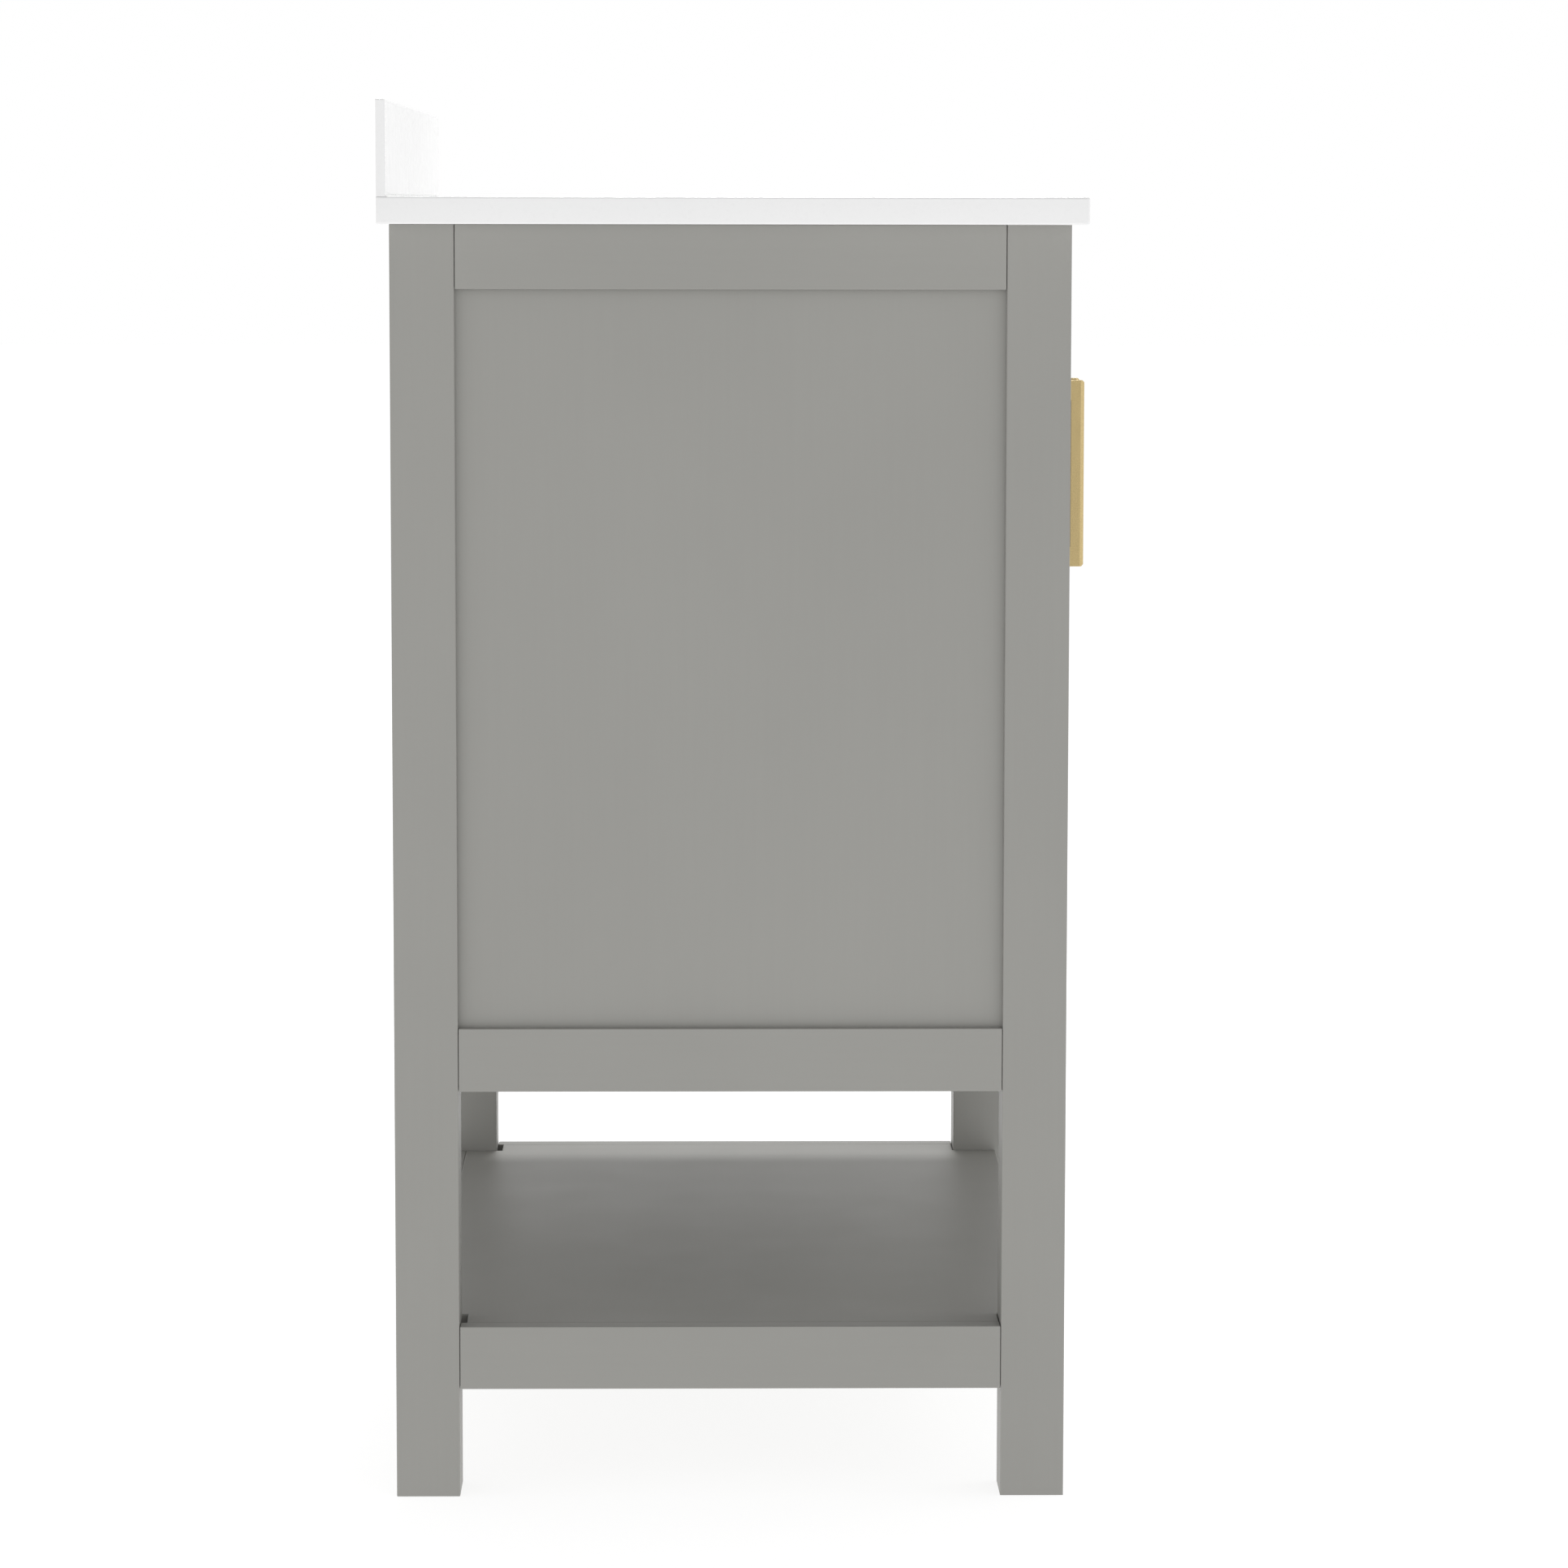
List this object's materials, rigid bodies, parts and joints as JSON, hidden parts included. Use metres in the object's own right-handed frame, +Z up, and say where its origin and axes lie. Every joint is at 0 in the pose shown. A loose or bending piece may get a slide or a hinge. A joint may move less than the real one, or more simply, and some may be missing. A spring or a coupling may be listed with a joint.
{
  "type": "bathroom vanity cabinet",
  "caption": "Free-standing bathroom vanity with square legs, panelled sides, inset doors on concealed hinges, an open shelf, a stone top with backsplash and an undermount basin.",
  "frame": {"origin": "middle of the bounding box's footprint, on the floor", "axes": "+X to the right seen from the front, -Y out through the doors, +Y to the wall, +Z up"},
  "size_m": [0.762, 0.506, 0.965],
  "materials": {
    "painted_wood": "satin grey paint over wood",
    "painted_board": "grey painted fibreboard",
    "bare_wood": "unfinished softwood",
    "stone": "polished opaque white stone",
    "ceramic": "glazed opaque white ceramic",
    "handle_metal": "brushed pale brass",
    "hinge_steel": "nickel plated steel",
    "clip_steel": "zinc plated steel",
    "screw_steel": "zinc plated steel",
    "silicone": "soft translucent grey rubber"
  },
  "bodies": {
    "cabinet": {"leg_front_left": "painted_wood", "leg_front_right": "painted_wood", "leg_rear_left": "painted_wood", "leg_rear_right": "painted_wood", "side_rail_top_left": "painted_wood", "side_rail_top_right": "painted_wood", "side_rail_middle_left": "painted_wood", "side_rail_middle_right": "painted_wood", "side_rail_bottom_left": "painted_wood", "side_rail_bottom_right": "painted_wood", "side_panel_left": "painted_wood", "side_panel_right": "painted_wood", "front_rail_top": "painted_wood", "front_rail_middle": "painted_wood", "back_rail_top": "painted_wood", "back_rail_middle": "painted_wood", "back_panel": "painted_board", "cabinet_floor": "painted_wood", "shelf": "painted_wood", "shelf_rail_front": "painted_wood", "shelf_rail_back": "painted_wood", "corner_blocks": "bare_wood", "door_stop": "painted_wood", "door_bumpers": "silicone", "countertop": "stone", "backsplash": "stone", "basin": "ceramic", "basin_clips": "clip_steel", "block_screws": "screw_steel", "clip_screws": "screw_steel", "hinge_arms_left": "hinge_steel", "hinge_arms_right": "hinge_steel", "hinge_arm_screws_left": "screw_steel", "hinge_arm_screws_right": "screw_steel"},
    "left_door": {"hinge_stile_left": "painted_wood", "meeting_stile_left": "painted_wood", "door_rail_top_left": "painted_wood", "door_rail_bottom_left": "painted_wood", "door_panel_left": "painted_wood", "handle_left": "handle_metal", "handle_screws_left": "screw_steel", "hinge_cups_left": "hinge_steel", "hinge_cup_screws_left": "screw_steel"},
    "left_first_links": {"hinge_first_links_left": "hinge_steel"},
    "left_second_links": {"hinge_second_links_left": "hinge_steel"},
    "right_door": {"hinge_stile_right": "painted_wood", "meeting_stile_right": "painted_wood", "door_rail_top_right": "painted_wood", "door_rail_bottom_right": "painted_wood", "door_panel_right": "painted_wood", "handle_right": "handle_metal", "handle_screws_right": "screw_steel", "hinge_cups_right": "hinge_steel", "hinge_cup_screws_right": "screw_steel"},
    "right_first_links": {"hinge_first_links_right": "hinge_steel"},
    "right_second_links": {"hinge_second_links_right": "hinge_steel"}
  },
  "joints": [
    {"name": "left_door_swing", "type": "hinge", "parent": "cabinet", "child": "left_door", "pos_m": [-0.3245, -0.219, 0.583], "axis": [0, 0, -1], "range_deg": [0, 100]},
    {"name": "left_first_link_turn", "type": "hinge", "parent": "cabinet", "child": "left_first_links", "pos_m": [-0.305, -0.195, 0.583], "axis": [0, 0, -1], "range_deg": [0, 100]},
    {"name": "left_second_link_turn", "type": "hinge", "parent": "left_door", "child": "left_second_links", "pos_m": [-0.297, -0.207, 0.583], "axis": [0, 0, -1], "range_deg": [-100, 0]},
    {"name": "right_door_swing", "type": "hinge", "parent": "cabinet", "child": "right_door", "pos_m": [0.3245, -0.219, 0.583], "axis": [0, 0, 1], "range_deg": [0, 100]},
    {"name": "right_first_link_turn", "type": "hinge", "parent": "cabinet", "child": "right_first_links", "pos_m": [0.305, -0.195, 0.583], "axis": [0, 0, 1], "range_deg": [0, 100]},
    {"name": "right_second_link_turn", "type": "hinge", "parent": "right_door", "child": "right_second_links", "pos_m": [0.297, -0.207, 0.583], "axis": [0, 0, 1], "range_deg": [-100, 0]}
  ],
  "couplings": [
    {"joint": "left_first_link_turn", "follows": "left_door_swing", "ratio": 1},
    {"joint": "left_second_link_turn", "follows": "left_door_swing", "ratio": -1},
    {"joint": "right_first_link_turn", "follows": "right_door_swing", "ratio": 1},
    {"joint": "right_second_link_turn", "follows": "right_door_swing", "ratio": -1}
  ]
}
